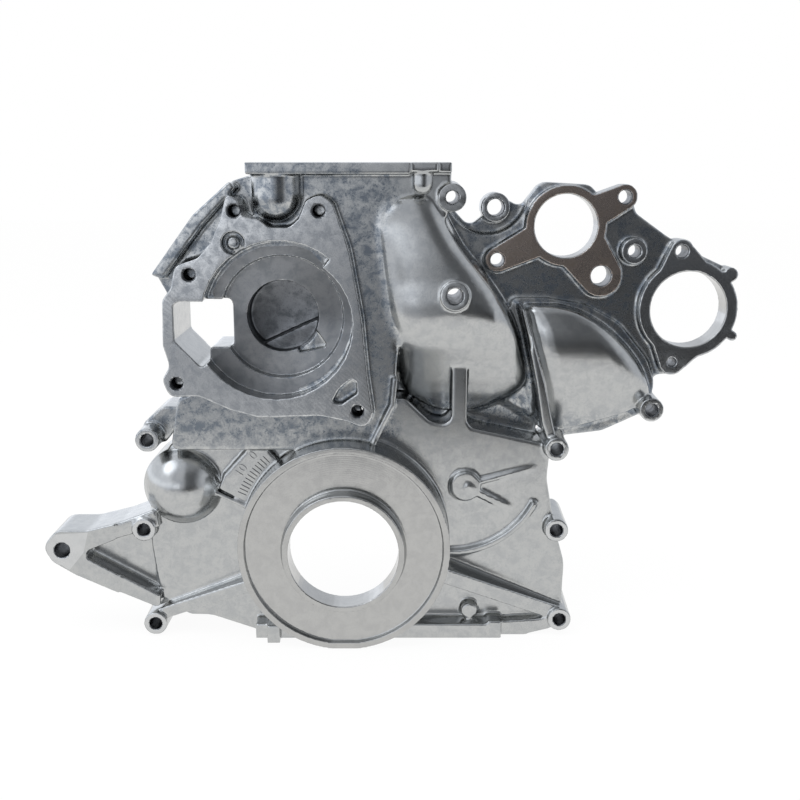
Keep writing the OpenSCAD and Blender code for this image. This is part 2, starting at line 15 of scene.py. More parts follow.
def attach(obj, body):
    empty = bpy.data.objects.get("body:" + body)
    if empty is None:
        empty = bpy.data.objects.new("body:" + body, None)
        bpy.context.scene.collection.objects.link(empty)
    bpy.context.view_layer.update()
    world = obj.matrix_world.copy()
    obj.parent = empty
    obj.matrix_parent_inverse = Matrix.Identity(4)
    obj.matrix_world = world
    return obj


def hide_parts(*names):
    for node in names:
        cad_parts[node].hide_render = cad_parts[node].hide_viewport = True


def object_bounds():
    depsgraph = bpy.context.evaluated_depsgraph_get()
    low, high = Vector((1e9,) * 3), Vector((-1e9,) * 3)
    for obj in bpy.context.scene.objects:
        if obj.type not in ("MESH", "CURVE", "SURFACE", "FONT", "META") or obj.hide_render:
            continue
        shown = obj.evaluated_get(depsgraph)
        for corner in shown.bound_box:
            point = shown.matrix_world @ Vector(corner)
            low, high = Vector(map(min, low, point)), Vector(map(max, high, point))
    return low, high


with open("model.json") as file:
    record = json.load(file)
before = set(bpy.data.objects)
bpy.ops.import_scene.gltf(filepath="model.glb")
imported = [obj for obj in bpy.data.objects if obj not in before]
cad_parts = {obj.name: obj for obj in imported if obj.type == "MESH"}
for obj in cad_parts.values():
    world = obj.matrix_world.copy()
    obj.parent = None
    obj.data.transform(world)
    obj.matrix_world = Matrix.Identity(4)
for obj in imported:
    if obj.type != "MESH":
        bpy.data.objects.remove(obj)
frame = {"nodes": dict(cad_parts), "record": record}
CAD_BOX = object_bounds()
LOG = logging.getLogger("timing_cover")
MM = 0.001
MERGE = 1e-6
CASTING_NODE = "timing_cover"
BODY = "root"
# Place of the pump axis across and up
PUMP_AT = (-40.5 * MM, 157 * MM)
# Stretches over which the casting's darker mottled tone, painted shade of the dark surroundings that these
# walls reflect, grows from calm to full: up from the body, towards the pump side, towards the case wall beside
# the chain bulge and back to that wall, and back to the plate
SHADE_PAINTED_UP = (58 * MM, 80 * MM)
SHADE_PAINTED_LEFT = (20 * MM, 10 * MM)
SHADE_PAINTED_CASE_SIDE = (42 * MM, 34 * MM)
SHADE_PAINTED_CASE_FRONT = (-50 * MM, -47 * MM)
SHADE_PAINTED_BEHIND = (-26 * MM, -18 * MM)
# Part of a surface's direction along Y over which the painted shade grows, so that only front faces, which
# reflect the dark surroundings, have it
SHADE_PAINTED_FACING = (-0.3, -0.8)
# Phase that a wave texture turns through over a length of one at scale one
WAVE_TURN = 20.0

Place = tuple[float, float, float]
# Lower left and upper right corner of an upright rectangle, each across and up
Rect = tuple[tuple[float, float], tuple[float, float]]


def linear(code: str) -> tuple[float, float, float, float]:
    """Turn an sRGB hex colour into linear light by the sRGB standard's curve.

    Args:
        code: Six hex digits after a hash sign.

    Returns:
        Red, green, blue and an alpha of one.
    """
    parts = [int(code[i:i + 2], 16) / 255 for i in (1, 3, 5)]
    red, green, blue = (p / 12.92 if p <= 0.04045 else ((p + 0.055) / 1.055) ** 2.4 for p in parts)
    return (red, green, blue, 1.0)


def add_node(tree: bpy.types.NodeTree, kind: str, inputs: dict | None = None, **settings) -> bpy.types.Node:
    """Add a shader node, set it and link it.

    Args:
        tree: The node tree that takes the node.
        kind: The node's type name.
        inputs: Values or output sockets by input name or number.
        settings: Properties of the node itself.

    Returns:
        The new node.
    """
    node = tree.nodes.new(kind)
    for key, value in settings.items():
        setattr(node, key, value)
    for key, value in (inputs or {}).items():
        if isinstance(value, bpy.types.NodeSocket):
            tree.links.new(value, node.inputs[key])
        else:
            node.inputs[key].default_value = value
    return node


def new_object(name: str, bm: bmesh.types.BMesh, *materials: bpy.types.Material) -> bpy.types.Object:
    """Put a bmesh into the scene as an object at the origin.

    Args:
        name: Name of the object and its mesh.
        bm: The shape, which is freed.
        materials: Finishes in slot order.

    Returns:
        The new object.
    """
    mesh = bpy.data.meshes.new(name)
    bm.to_mesh(mesh)
    bm.free()
    for material in materials:
        mesh.materials.append(material)
    obj = bpy.data.objects.new(name, mesh)
    bpy.context.scene.collection.objects.link(obj)
    return obj


def mount(name: str) -> dict:
    """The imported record's mount of that name."""
    return next(m for m in frame["record"]["mounts"] if m["name"] == name)


def bore_mounts() -> list[dict]:
    """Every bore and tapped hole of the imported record."""
    return [m for m in frame["record"]["mounts"] if m["kind"] in ("bore", "threaded_hole")]


def bore_front(bore: dict) -> float:
    """Height of a bore's front mouth along Y, in metres."""
    return bore["pos_m"][1] - bore["dims"]["length_mm"] * MM / 2


def off_axis(points: np.ndarray, place: Place) -> np.ndarray:
    """Distance of each point from the line along Y through a place."""
    return np.hypot(points[:, 0] - place[0], points[:, 2] - place[2])


class Lay(Enum):
    """How a surface was made, which gives its pattern."""

    CAST = "cast"
    MILLED = "milled"
    TURNED = "turned"


@dataclass(frozen=True)
class Finish:
    """One finish of the casting.

    The colours are the plain metal and its darker mottled tone, which is painted shade of the dark
    surroundings on the upper front walls, and the roughness runs from the plain to the mottled one. The sizes
    are in millimetres on the part, and the calm share is what is left of the painted shade on the other walls.
    Cutter lines and rings are finer on the real part, and are drawn coarse enough to show.
    """

    name: str
    lay: Lay
    base_tone: str
    shaded_tone: str
    rough: tuple[float, float]
    cloud_mm: float
    speck_mm: float
    line_mm: float
    bump_mm: float
    calm: float = 1.0
    streaks: float = 0.0
    axis: Place = (0.0, 0.0, 0.0)
    cloud_detail: float = 5.0
    cloud_break: float = 0.6
    cloud_swirl: float = 0.4
    cloud_edge: tuple[float, float] = (0.36, 0.70)
    speck_edge: tuple[float, float] = (0.50, 0.72)
    speck_share: float = 0.5
    grain_detail: float = 4.0
    grain_break: float = 0.45
    cutter_wander: float = 1.5
    cutter_wander_scale: float = 1.5

    def material(self) -> bpy.types.Material:
        """Build the node material.

        Returns:
            A metal whose colour, roughness and bump follow the pattern of its lay.
        """
        material = bpy.data.materials.new(self.name)
        material.use_nodes = True
        tree = material.node_tree
        shader = tree.nodes["Principled BSDF"]
        shader.inputs["Metallic"].default_value = 1.0
        coords = add_node(tree, "ShaderNodeTexCoord").outputs
        about = add_node(tree, "ShaderNodeVectorMath", {0: coords["Object"], 1: self.axis},
                         operation="SUBTRACT").outputs[0]
        # Darker mottled tone, painted shade on the upper front walls
        shade_mottle = self._painted_shade_mottle(tree, coords["Object"], coords["Normal"])
        colour = add_node(tree, "ShaderNodeMix", {0: shade_mottle, 6: linear(self.base_tone), 7: linear(self.shaded_tone)},
                          data_type="RGBA")
        rough = add_node(tree, "ShaderNodeMapRange", {"Value": shade_mottle, 3: self.rough[0], 4: self.rough[1]})
        bump = add_node(tree, "ShaderNodeBump", {"Strength": 1.0, "Distance": self.bump_mm * MM,
                                                 "Height": self._relief(tree, about)})
        tree.links.new(colour.outputs[2], shader.inputs["Base Color"])
        tree.links.new(rough.outputs[0], shader.inputs["Roughness"])
        tree.links.new(bump.outputs[0], shader.inputs["Normal"])
        if self.streaks:
            tangent = add_node(tree, "ShaderNodeVectorMath", {0: about}, operation="NORMALIZE").outputs[0]
            shader.inputs["Anisotropic"].default_value = self.streaks
            tree.links.new(tangent, shader.inputs["Tangent"])
        return material

    def _painted_shade_mottle(self, tree: bpy.types.NodeTree, place: bpy.types.NodeSocket,
              normal: bpy.types.NodeSocket) -> bpy.types.NodeSocket:
        """Painted shade: darker mottled clouds and fine specks on the upper front walls, much calmer on the
        rest.

        Args:
            tree: The material's node tree.
            place: The place on the object.
            normal: The surface's direction on the object.

        Returns:
            A socket that is one where the painted shade is full.
        """
        cloud = add_node(tree, "ShaderNodeTexNoise",
                         {"Vector": place, "Scale": 1 / (self.cloud_mm * MM), "Detail": self.cloud_detail,
                          "Roughness": self.cloud_break, "Distortion": self.cloud_swirl}).outputs[0]
        speck = add_node(tree, "ShaderNodeTexNoise",
                         {"Vector": place, "Scale": 1 / (self.speck_mm * MM)}).outputs[0]
        across, along, height = add_node(tree, "ShaderNodeSeparateXYZ", {0: place}).outputs
        direction = add_node(tree, "ShaderNodeSeparateXYZ", {0: normal}).outputs[1]
        # The masks keep the painted shade to the upper front-facing walls, the case wall and the recessed
        # plate
        clouds, specks, left, case_side, case_front, behind, up, facing = (
            add_node(tree, "ShaderNodeMapRange", {"Value": value, 1: start, 2: end, 4: most},
                     interpolation_type="SMOOTHSTEP").outputs[0]
            for value, (start, end), most in (
                (cloud, self.cloud_edge, 1.0), (speck, self.speck_edge, self.speck_share),
                (across, SHADE_PAINTED_LEFT, 1.0), (across, SHADE_PAINTED_CASE_SIDE, 1.0),
                (along, SHADE_PAINTED_CASE_FRONT, 1.0), (along, SHADE_PAINTED_BEHIND, 1.0),
                (height, SHADE_PAINTED_UP, 1.0), (direction, SHADE_PAINTED_FACING, 1.0)))
        case = add_node(tree, "ShaderNodeMath", {0: case_side, 1: case_front}, operation="MULTIPLY").outputs[0]
        share = left
        limits = (("MAXIMUM", case), ("MAXIMUM", behind), ("MULTIPLY", up), ("MULTIPLY", facing))
        for operation, other in limits:
            share = add_node(tree, "ShaderNodeMath", {0: share, 1: other}, operation=operation).outputs[0]
        share = add_node(tree, "ShaderNodeMapRange", {"Value": share, 3: self.calm}).outputs[0]
        both = add_node(tree, "ShaderNodeMath", {0: clouds, 1: specks}, operation="ADD",
                        use_clamp=True).outputs[0]
        return add_node(tree, "ShaderNodeMath", {0: both, 1: share}, operation="MULTIPLY").outputs[0]

    def _relief(self, tree: bpy.types.NodeTree, about: bpy.types.NodeSocket) -> bpy.types.NodeSocket:
        """Fine relief that the lay leaves.

        Args:
            tree: The material's node tree.
            about: The place on the object, counted from the finish's axis.

        Returns:
            A socket with the relief's height.
        """
        if self.lay is Lay.CAST:
            return add_node(tree, "ShaderNodeTexNoise",
                            {"Vector": about, "Scale": 1 / (self.line_mm * MM), "Detail": self.grain_detail,
                             "Roughness": self.grain_break}).outputs[0]
        rings = self.lay is Lay.TURNED
        return add_node(tree, "ShaderNodeTexWave",
                        {"Vector": about, "Scale": math.tau / (WAVE_TURN * self.line_mm * MM),
                         "Distortion": 0.0 if rings else self.cutter_wander,
                         "Detail Scale": self.cutter_wander_scale},
                        wave_type="RINGS" if rings else "BANDS", rings_direction="Y",
                        bands_direction="DIAGONAL").outputs[1]


@dataclass
class Palette:
    """The finishes of the casting in slot order."""

    crank_axis: Place
    pump_axis: Place
    finishes: list[Finish] = field(default_factory=list)

    def __post_init__(self) -> None:
        """List the finishes, each named for its material and the way it was made."""
        self.finishes = [
            # Bright cast skin with bluish grey mottles that break the reflections up, painted shade of the
            # dark surroundings on the upper front walls
            Finish("die_cast_aluminium_skin", Lay.CAST, "#babbba", "#7c838b", rough=(0.20, 0.30),
                   cloud_mm=6.5, speck_mm=1.3, line_mm=8.0, bump_mm=0.04, calm=0.22),
            # Flat milled faces, paler and less mottled than the skin, with faint cutter lines
            Finish("milled_aluminium_face", Lay.MILLED, "#c8c9c9", "#a3a6a9", rough=(0.17, 0.27),
                   cloud_mm=6.0, speck_mm=1.0, line_mm=1.6, bump_mm=0.006, calm=0.2),
            # Turned faces about the crank axis, with fine rings over an even pale grey
            Finish("turned_aluminium_crank", Lay.TURNED, "#b6b6b4", "#a9a9a8", rough=(0.17, 0.24),
                   cloud_mm=9.0, speck_mm=1.0, line_mm=1.5, bump_mm=0.004, calm=0.5, axis=self.crank_axis),
            # Rougher turned faces about the pump axis, whose rings draw each light out towards the axis; their
            # darker colour is painted shade of the recessed chamber and scroll
            Finish("turned_aluminium_pump", Lay.TURNED, "#a3a4a6", "#929598", rough=(0.40, 0.44),
                   cloud_mm=7.0, speck_mm=1.0, line_mm=1.5, bump_mm=0.004, streaks=1.0, axis=self.pump_axis),
            # Machined pads under a thin brownish film
            Finish("filmed_aluminium_pad", Lay.MILLED, "#b9aca3", "#93877e", rough=(0.24, 0.36),
                   cloud_mm=8.0, speck_mm=1.0, line_mm=1.6, bump_mm=0.010),
            # Drilled walls, rougher than the faces round them, with a darker colour that is painted shade
            # inside the holes
            Finish("drilled_aluminium_bore", Lay.TURNED, "#7d7f82", "#5c5f62", rough=(0.30, 0.42),
                   cloud_mm=8.0, speck_mm=0.8, line_mm=1.2, bump_mm=0.03),
        ]

    def index(self, name: str) -> int:
        """Slot number of the finish of that name."""
        return [f.name for f in self.finishes].index(name)

    def materials(self) -> list[bpy.types.Material]:
        """Build every finish in slot order."""
        return [f.material() for f in self.finishes]


@dataclass(frozen=True)
class FaceZone:
    """A flat machined zone: its height along an axis, its box, its finish and its round limit along Y."""

    axis: int
    level: float
    low: Place
    high: Place
    finish: str
    centre: Place = (0.0, 0.0, 0.0)
    reach: float = math.inf

    def holds(self, points: np.ndarray, tolerance: float) -> np.ndarray:
        """Points that lie on the zone.

        Args:
            points: Places, one a row.
            tolerance: Distance from the plane that still counts.

        Returns:
            One true or false a row.
        """
        near = np.abs(points[:, self.axis] - self.level) < tolerance
        inside = np.all((points >= np.array(self.low)) & (points <= np.array(self.high)), axis=1)
        return near & inside & (off_axis(points, self.centre) < self.reach)


@dataclass(frozen=True)
class Chin:
    """A bulge whose front steps back a little upwards, so that its lower half faces the table less."""

    low: Place
    high: Place
    left: float
    bottom: float
    top: float
    depth: float
    ease: float = 12 * MM

    def back(self, points: np.ndarray) -> np.ndarray:
        """How far each point steps back.

        Args:
            points: Places, one a row.

        Returns:
            One distance along Y a row.
        """
        inside = np.all((points > self.low) & (points < self.high), axis=1)
        up = np.clip((points[:, 2] - self.bottom) / (self.top - self.bottom), 0, 1)
        across = np.clip((points[:, 0] - self.left) / self.ease, 0, 1)
        proud = np.clip((self.high[1] - points[:, 1]) / self.ease, 0, 1)
        return inside * self.depth * up * up * (3 - 2 * up) * across * proud


@dataclass
class CastingSkin:
    """The casting with soft cast edges, flat machined faces and a finish on every face."""

    palette: Palette
    # Grain of the skin and its rounding
    voxel: float = 0.65 * MM
    pass_strength: float = 0.5
    cast_passes: int = 22
    edge_passes: int = 2
    crown_passes: int = 150
    triangles: int = 190_000
    face_weight: int = 80
    # Crown of the chain bulge, which is rounded most and falls off towards its upper left edge
    crown_low: Place = (18 * MM, -62 * MM, 134 * MM)
    crown_high: Place = (128 * MM, -30 * MM, 234 * MM)
    crown_boss_clear: float = 9 * MM
    crown_sag: float = 5.5 * MM
    crown_reach: float = 46 * MM
    crown_edge: tuple[float, float] = (20.5 * MM, 218 * MM)
    crown_lean: float = -0.158
    case_front: float = -46 * MM
    # Fronts of the chain bulge and the right lobe, and the valley below them
    chins: tuple[Chin, ...] = (
        Chin((18 * MM, -75 * MM, 120 * MM), (128 * MM, -46 * MM, 234 * MM), left=20 * MM, bottom=128 * MM,
             top=186 * MM, depth=3.2 * MM),
        Chin((99 * MM, -70 * MM, 90 * MM), (205 * MM, -22 * MM, 170 * MM), left=101 * MM, bottom=106 * MM,
             top=160 * MM, depth=2.6 * MM),
    )
    valley_low: Place = (86 * MM, -18 * MM, 76 * MM)
    valley_high: Place = (136 * MM, -6 * MM, 112 * MM)
    # Pump housing: its joint face, chamber, suction port and scroll
    pump_area: Rect = ((-130 * MM, 80 * MM), (30 * MM, 245 * MM))
    chamber_area: Rect = ((-90 * MM, 110 * MM), (10 * MM, 200 * MM))
    chamber_floor: float = -40 * MM
    suction_floor: float = -25 * MM
    suction_dish: float = 3.0 * MM
    suction_reach: float = 25.5 * MM
    scroll_floor: float = -46 * MM
    scroll_reach: float = 47 * MM
    scroll_mouth_high: Place = (-30 * MM, 0.0, 157 * MM)
    scroll_mouth_reach: float = 57 * MM
    # Other machined faces
    ear_area: Rect = ((-math.inf, -60 * MM), (-160.5 * MM, 30 * MM))
    pad_area: Rect = ((90 * MM, 160 * MM), (210 * MM, 250 * MM))
    side_port_area: Rect = ((195 * MM, 100 * MM), (math.inf, 215 * MM))
    drum_area: Rect = ((-80 * MM, -80 * MM), (80 * MM, 80 * MM))
    drum_fronts: tuple[float, float] = (-67 * MM, -63.5 * MM)
    ring_width: float = 5.5 * MM
    wide_bore_mm: float = 20.0
    # How near a point or a direction has to be to count as on a face or in a bore
    flat_tolerance: float = 0.3 * MM
    bore_tolerance: float = 0.6 * MM
    facing: float = 0.93

    @staticmethod
    def _front_box(area: Rect) -> tuple[Place, Place]:
        """Corners of the box over an upright rectangle, from the part's front to its rear joint face."""
        (left, bottom), (right, top) = area
        return (left, CAD_BOX[0][1], bottom), (right, 0.0, top)

    def zones(self) -> list[FaceZone]:
        """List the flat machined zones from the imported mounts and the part's levels.

        Returns:
            The zones, later ones over earlier ones.
        """
        low, high = (tuple(v) for v in CAD_BOX)
        zones = [
            FaceZone(1, 0.0, low, high, "milled_aluminium_face"),
            FaceZone(2, mount("head_face")["pos_m"][2], low, high, "milled_aluminium_face"),
            FaceZone(2, mount("sump_face")["pos_m"][2], low, high, "milled_aluminium_face"),
        ]
        fronts = [
            (mount("pump_face")["pos_m"][1], self.pump_area, "milled_aluminium_face"),
            (bore_front(mount("ear_bore")), self.ear_area, "die_cast_aluminium_skin"),
            (bore_front(mount("upper_port")), self.pad_area, "filmed_aluminium_pad"),
            (bore_front(mount("side_port")), self.side_port_area, "milled_aluminium_face"),
            (bore_front(mount("seal_bore")), self.drum_area, "turned_aluminium_crank"),
            *((level, self.drum_area, "turned_aluminium_crank") for level in self.drum_fronts),
            # The recessed chamber and scroll floors take the darker pump finish, painted shade of the recess
            (self.chamber_floor, self.chamber_area, "turned_aluminium_pump"),
        ]
        zones += [FaceZone(1, level, *self._front_box(area), finish) for level, area, finish in fronts]
        scroll = ((high, self.scroll_reach), (self.scroll_mouth_high, self.scroll_mouth_reach))
        zones += [FaceZone(1, self.scroll_floor, low, end, "turned_aluminium_pump", self.palette.pump_axis,
                           reach) for end, reach in scroll]
        for bore in bore_mounts():
            x, _, z = bore["pos_m"]
            reach = bore["dims"]["r_mm"] * MM + self.ring_width
            if not bore["name"].startswith(("upper_port", "seal", "pump")):
                box = self._front_box(((x - reach, z - reach), (x + reach, z + reach)))
                zones.append(FaceZone(1, bore_front(bore), *box, "milled_aluminium_face"))
        return zones

    def build(self) -> bpy.types.Object:
        """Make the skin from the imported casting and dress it.

        Returns:
            The finished piece, riding on its body.
        """
        obj = self._merged_copy()
        self._apply(obj, "REMESH", mode="VOXEL", voxel_size=self.voxel, adaptivity=0.0)
        self._soften(obj)
        self._reshape_fronts(obj.data)
        share = self.triangles / (2 * len(obj.data.polygons))
        self._apply(obj, "DECIMATE", ratio=min(1.0, share))
        self._flatten_joint(obj.data)
        obj.data.shade_smooth()
        self._dress(obj)
        self._apply(obj, "WEIGHTED_NORMAL", mode="FACE_AREA", weight=self.face_weight, keep_sharp=False)
        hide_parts(CASTING_NODE)
        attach(obj, BODY)
        return obj

    @staticmethod
    def _merged_copy() -> bpy.types.Object:
        """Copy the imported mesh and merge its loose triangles.

        Returns:
            The copy as an object of its own.
        """
        bm = bmesh.new()
        bm.from_mesh(frame["nodes"][CASTING_NODE].data)
        bmesh.ops.remove_doubles(bm, verts=bm.verts, dist=MERGE)
        return new_object("cast_cover", bm)

    @staticmethod
    def _apply(obj: bpy.types.Object, kind: str, **settings) -> None:
        """Run one modifier over a piece and keep its result as the mesh.

        Args:
            obj: The piece.
            kind: The modifier's type name.
            settings: Properties of the modifier.
        """
        modifier = obj.modifiers.new(kind.lower(), kind)
        for key, value in settings.items():
            setattr(modifier, key, value)
        graph = bpy.context.evaluated_depsgraph_get()
        done = bpy.data.meshes.new_from_object(obj.evaluated_get(graph), preserve_all_data_layers=True,
                                               depsgraph=graph)
        obj.modifiers.clear()
        old = obj.data
        obj.data = done
        bpy.data.meshes.remove(old)

    @staticmethod
    def _rows(items: bpy.types.bpy_prop_collection, name: str) -> np.ndarray:
        """Read a vector property of a mesh's vertices or faces.

        Args:
            items: The vertices or the faces.
            name: The property.

        Returns:
            One vector a row.
        """
        flat = np.empty(len(items) * 3)
        items.foreach_get(name, flat)
        return flat.reshape(-1, 3)

    @staticmethod
    def _move(mesh: bpy.types.Mesh, points: np.ndarray) -> None:
        """Put the vertices of a mesh at new places, one a row."""
        mesh.vertices.foreach_set("co", points.ravel())
        mesh.update()

    def _machined(self, points: np.ndarray, tolerance: float) -> np.ndarray:
        """Points on any flat machined zone or on the wall of a bore.

        Args:
            points: Places, one a row.
            tolerance: Distance from a plane that still counts.

        Returns:
            One true or false a row.
        """
        hit = np.zeros(len(points), bool)
        for zone in self.zones():
            hit |= zone.holds(points, tolerance)
        for bore in bore_mounts():
            hit |= self._on_bore(points, bore)
        return hit

    def _on_bore(self, points: np.ndarray, bore: dict) -> np.ndarray:
        """Points on the wall of a bore along Y.

        Args:
            points: Places, one a row.
            bore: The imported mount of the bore.

        Returns:
            One true or false a row.
        """
        half = bore["dims"]["length_mm"] * MM / 2 + self.bore_tolerance
        off = off_axis(points, bore["pos_m"]) - bore["dims"]["r_mm"] * MM
        return (np.abs(off) < self.bore_tolerance) & (np.abs(points[:, 1] - bore["pos_m"][1]) < half)

    def _soften(self, obj: bpy.types.Object) -> None:
        """Round the cast edges more than the machined ones, and the crown of the chain bulge most.

        Args:
            obj: The remeshed skin.
        """
        self._apply(obj, "SMOOTH", factor=self.pass_strength, iterations=self.edge_passes)
        places = self._rows(obj.data.vertices, "co")
        cast = ~self._machined(places, self.voxel)
        crown = cast & np.all((places > self.crown_low) & (places < self.crown_high), axis=1)
        for bore in bore_mounts():
            crown &= off_axis(places, bore["pos_m"]) > bore["dims"]["r_mm"] * MM + self.crown_boss_clear
        crown |= np.all((places > self.valley_low) & (places < self.valley_high), axis=1)
        for name, chosen, passes in (("cast", cast, self.cast_passes), ("crown", crown, self.crown_passes)):
            obj.vertex_groups.new(name=name).add(np.flatnonzero(chosen).tolist(), 1.0, "REPLACE")
            self._apply(obj, "SMOOTH", factor=self.pass_strength, iterations=passes, vertex_group=name)
            obj.vertex_groups.clear()

    def _reshape_fronts(self, mesh: bpy.types.Mesh) -> None:
        """Let the crown fall off, step the bulges' fronts back upwards and dish the suction floor.

        Args:
            mesh: The softened skin.
        """
        points = self._rows(mesh.vertices, "co")
        points[:, 1] += self._crown_fall(points)
        for chin in self.chins:
            points[:, 1] += chin.back(points)
        off = off_axis(points, self.palette.pump_axis)
        floor = np.abs(points[:, 1] - self.suction_floor) < 2 * self.voxel
        points[:, 1] += floor * self.suction_dish * np.clip(1 - (off / self.suction_reach) ** 2, 0, 1)
        self._move(mesh, points)

    def _crown_fall(self, points: np.ndarray) -> np.ndarray:
        """How far each point of the chain bulge's crown falls back towards its upper left edge.

        Args:
            points: Places, one a row.

        Returns:
            One distance along Y a row.
        """
        inside = np.all((points > self.crown_low) & (points < self.crown_high), axis=1)
        left = self.crown_edge[0] + self.crown_lean * (points[:, 2] - self.crown_edge[1])
        away = np.clip(1 - (points[:, 0] - left) / self.crown_reach, 0, 1) ** 2
        above = np.clip((points[:, 2] - self.crown_low[2]) / self.crown_reach, 0, 1)
        proud = np.clip((self.case_front - points[:, 1]) / (2 * self.crown_sag), 0, 1)
        return inside * self.crown_sag * away * above * proud

    def _flatten_joint(self, mesh: bpy.types.Mesh) -> None:
        """Bring the ground rear joint face into one plane.

        Args:
            mesh: The thinned skin.
        """
        points = self._rows(mesh.vertices, "co")
        rearward = self._rows(mesh.vertices, "normal")[:, 1] > self.facing
        points[rearward & (np.abs(points[:, 1]) < 2 * self.flat_tolerance), 1] = 0.0
        self._move(mesh, points)

    def _dress(self, obj: bpy.types.Object) -> None:
        """Give each face the finish of its zone.

        Args:
            obj: The finished shape of the skin.
        """
        mesh = obj.data
        mesh.materials.clear()
        for material in self.palette.materials():
            mesh.materials.append(material)
        centres = self._rows(mesh.polygons, "center")
        normals = self._rows(mesh.polygons, "normal")
        slots = np.zeros(len(centres), np.int32)
        for zone in self.zones():
            facing = np.abs(normals[:, zone.axis]) > self.facing
            slots[zone.holds(centres, self.flat_tolerance) & facing] = self.palette.index(zone.finish)
        # Narrow bores take the darker bore finish, painted shade inside the holes
        for bore in bore_mounts():
            wide = bore["dims"]["r_mm"] > self.wide_bore_mm
            finish = "turned_aluminium_crank" if wide else "drilled_aluminium_bore"
            slots[self._on_bore(centres, bore)] = self.palette.index(finish)
        # The suction port's floor takes the darker bore finish, painted shade of the deep port
        bottom = self.suction_floor + self.suction_dish + self.flat_tolerance
        deep = (centres[:, 1] > self.chamber_floor + self.flat_tolerance) & (centres[:, 1] < bottom)
        port = off_axis(centres, self.palette.pump_axis) < self.suction_reach
        slots[deep & port] = self.palette.index("drilled_aluminium_bore")
        mesh.polygons.foreach_set("material_index", slots)
        mesh.update()


@dataclass
class StudThreads:
    """Threads in the tapped holes of the pump face."""

    material: bpy.types.Material
    pitch: float = 1.5 * MM
    depth: float = 0.5 * MM
    sunk: float = 0.25 * MM
    half_width: float = 0.45
    steps_per_turn: int = 28

    def build(self) -> bpy.types.Object:
        """Model a helical ridge in every tapped hole.

        Returns:
            One piece with all the threads.
        """
        bm = bmesh.new()
        for hole in bore_mounts():
            if hole["kind"] == "threaded_hole":
                self._thread(bm, hole)
        bmesh.ops.recalc_face_normals(bm, faces=bm.faces)
        obj = new_object("stud_threads", bm, self.material)
        obj.data.shade_smooth()
        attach(obj, BODY)
        return obj

    def _thread(self, bm: bmesh.types.BMesh, hole: dict) -> None:
        """Spin a thread's section along one hole.

        Args:
            bm: The shape that takes the thread.
            hole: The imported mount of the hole.
        """
        x, y, z = hole["pos_m"]
        radius = hole["dims"]["r_mm"] * MM
        length = hole["dims"]["length_mm"] * MM
        turns = int(length / self.pitch) - 1
        start = y - length / 2 + self.pitch
        section = [(radius + self.sunk, -self.half_width), (radius - self.depth, 0.0),
                   (radius + self.sunk, self.half_width)]
        verts = [bm.verts.new((x + r, start + share * self.pitch, z)) for r, share in section]
        face = bm.faces.new(verts)
        steps = turns * self.steps_per_turn
        bmesh.ops.spin(bm, geom=[face], cent=(x, y, z), axis=(0, 1, 0), angle=turns * math.tau, steps=steps,
                       dvec=(0, self.pitch * turns / steps, 0), use_duplicate=False)


